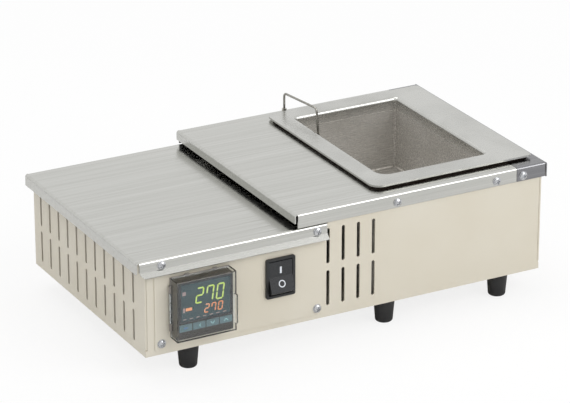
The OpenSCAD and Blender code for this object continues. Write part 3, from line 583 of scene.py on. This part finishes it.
class POT_OT_mains(bpy.types.Operator):
    """Finishes the mains inlet and the control gear inside"""
    bl_idname = "pot.mains"
    bl_label = "Mains and control gear"

    def execute(self, context):
        dress("power_inlet", moulded_plastic("moulded_inlet_plastic", "18191b", "202123", 0.45))
        dress("inlet_pins", turned_steel("nickel_plated_blade", "d2d3d4", "b9babb", 0.22))
        dark = moulded_plastic("moulded_relay_plastic", "232528", "2b2d30", 0.5)
        dress("relay", dark)
        dress("fuse_holder", dark)
        dress("relay_heatsink", turned_steel("extruded_aluminium", "b4b7ba", "9fa2a5", 0.4))
        dress("terminal_block", moulded_plastic("moulded_block_plastic", "dcd7c9", "d2cdbe", 0.5))
        return {"FINISHED"}


class POT_OT_screws(bpy.types.Operator):
    """Finishes the cross recessed screws and nuts and seats collars round the front heads"""
    bl_idname = "pot.screws"
    bl_label = "Screws"

    def execute(self, context):
        plated = turned_steel("zinc_plated_screw", "c9cacc", "a9abae", 0.26)
        for node in ("cover_screws", "panel_screws", "gear_screws", "foot_screws", "foot_nuts"):
            dress(node, plated)
        self.washers()
        return {"FINISHED"}

    def washers(self):
        # a thin raised ring round each head on the front, as a screw with a pressed collar has
        look = bpy.context.scene.pot_screw
        rim, head = look.washer + 0.5 * MM, look.washer + 0.02 * MM
        ring = turned_part("collar", [(head, 0.05 * MM), (rim, 0.05 * MM), (rim, 0.4 * MM), (rim - 0.15 * MM, 0.55 * MM),
                                      (head, 0.55 * MM), (head, 0.05 * MM)], 36)
        front, points = Vector((0, -1, 0)), []
        for x, y, z in ((13.6, -1.8, 74.0), (146.3, -1.8, 74.0), (217.4, -1.0, 83.7), (307.6, -1.0, 83.7),
                        (332.1, -1.0, 83.7), (13.1, -0.8, 9.2), (146.6, -0.8, 9.2)):
            points.append((at(x, y + 0.04, z), front, 0.0))
        run_tree(seat_tree(), "screw_collars", seats(points),
                 {"Part": ring, "Size": 1.0, "Material": turned_steel("zinc_plated_collar", "dcddde", "c2c3c5", 0.25)})
        bpy.data.objects.remove(ring)


class POT_OT_feet(bpy.types.Operator):
    """Finishes the rubber feet"""
    bl_idname = "pot.feet"
    bl_label = "Rubber feet"

    def execute(self, context):
        dress("rubber_feet", black_rubber())
        return {"FINISHED"}


class POT_OT_stage(bpy.types.Operator):
    """Sets the bench, the light from all round, the lamps and the camera"""
    bl_idname = "pot.stage"
    bl_label = "Stage"

    def execute(self, context):
        look = context.scene.pot_stage
        self.floor()
        self.world(look)
        self.lamps(look)
        self.camera(look)
        context.scene.view_settings.view_transform = "Standard"
        return {"FINISHED"}

    def floor(self):
        mat, t, out = new_material("pale_bench")
        cloud = grain(t, (300, 300, 300), 2)
        colour = blend_colour(t, spread(t, cloud, 0.3, 0.7, 0, 1), "f6f6f6", "f9f9f9")
        matt = add(t, "ShaderNodeBsdfDiffuse", {"Color": colour})
        white = add(t, "ShaderNodeEmission", {"Color": (1, 1, 1, 1), "Strength": 1.0})
        path = add(t, "ShaderNodeLightPath")
        seen = add(t, "ShaderNodeMath", {0: path.outputs["Is Camera Ray"], 1: 0.82}, operation="MULTIPLY")
        mix = add(t, "ShaderNodeMixShader", {0: seen.outputs[0], 1: matt.outputs[0], 2: white.outputs[0]})
        t.links.new(mix.outputs[0], out.inputs[0])
        bm = bmesh.new()
        bmesh.ops.create_grid(bm, x_segments=2, y_segments=2, size=6.0)
        obj = finish_piece(bm, "bench", mat, body=None, smooth=False)

    def world(self, look):
        world = bpy.data.worlds.new("studio")
        bpy.context.scene.world = world
        world.use_nodes = True
        t = world.node_tree
        t.nodes.clear()
        path = add(t, "ShaderNodeLightPath")
        plain = add(t, "ShaderNodeMath", {0: path.outputs["Is Camera Ray"], 1: path.outputs["Is Glossy Ray"]}, operation="ADD")
        both = add(t, "ShaderNodeMath", {0: plain.outputs[0], 1: path.outputs["Is Transmission Ray"]},
                   operation="ADD", use_clamp=True)
        air = add(t, "ShaderNodeBackground", {"Color": linear("ffffff"), "Strength": look.air})
        white = add(t, "ShaderNodeBackground", {"Color": linear("ffffff"), "Strength": 1.0})
        mix = add(t, "ShaderNodeMixShader", {0: both.outputs[0], 1: air.outputs[0], 2: white.outputs[0]})
        out = add(t, "ShaderNodeOutputWorld")
        t.links.new(mix.outputs[0], out.inputs[0])

    def lamps(self, look):
        aim = Vector((0, 0, 0.06))
        for name, place, size, power in (
            ("key", (0.9, -1.5, 1.5), 1.2, look.key),
            ("top", (-0.3, 0.5, 1.9), 1.6, look.key * 0.8),
        ):
            lamp = bpy.data.lights.new(name, "AREA")
            lamp.size = size
            lamp.energy = power
            obj = bpy.data.objects.new(name, lamp)
            obj.location = place
            obj.rotation_euler = (aim - Vector(place)).to_track_quat("-Z", "Y").to_euler()
            bpy.context.scene.collection.objects.link(obj)

    def camera(self, look):
        cam = bpy.data.cameras.new("camera")
        cam.lens = look.lens
        cam.sensor_width = 36.0
        obj = bpy.data.objects.new("camera", cam)
        target = Vector((-0.00046, 0.00525, 0.07604))
        a, e = look.azimuth, look.elevation
        back = Vector((math.sin(a) * math.cos(e), -math.cos(a) * math.cos(e), math.sin(e)))
        obj.location = target + back * look.distance
        obj.rotation_euler = (-back).to_track_quat("-Z", "Y").to_euler()
        cam.clip_end = 20.0
        bpy.context.scene.collection.objects.link(obj)
        bpy.context.scene.camera = obj


class POT_PT_panel(bpy.types.Panel):
    """Lists the steps that build the pot and their settings"""
    bl_idname = "POT_PT_panel"
    bl_label = "Solder pot"
    bl_space_type = "VIEW_3D"
    bl_region_type = "UI"
    bl_category = "Solder pot"

    def draw(self, context):
        for step in STEPS:
            self.layout.operator(step.bl_idname)
        for group in (context.scene.pot_case, context.scene.pot_screw, context.scene.pot_stage):
            for key in group.__annotations__:
                self.layout.prop(group, key)


STEPS = (POT_OT_case, POT_OT_covers, POT_OT_bath, POT_OT_probe, POT_OT_controller, POT_OT_switch,
         POT_OT_mains, POT_OT_screws, POT_OT_feet, POT_OT_stage)
GROUPS = (("pot_case", PotCaseProps), ("pot_screw", PotScrewProps), ("pot_stage", PotStageProps))


def register():
    for name, group in GROUPS:
        bpy.utils.register_class(group)
        setattr(bpy.types.Scene, name, bpy.props.PointerProperty(type=group))
    for one in (*STEPS, POT_PT_panel):
        bpy.utils.register_class(one)


def unregister():
    for one in reversed((*STEPS, POT_PT_panel)):
        bpy.utils.unregister_class(one)
    for name, group in reversed(GROUPS):
        delattr(bpy.types.Scene, name)
        bpy.utils.unregister_class(group)


def main():
    register()
    for step in STEPS:
        group, name = step.bl_idname.split(".")
        getattr(getattr(bpy.ops, group), name)()
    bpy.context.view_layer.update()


if __name__ == "__main__":
    main()
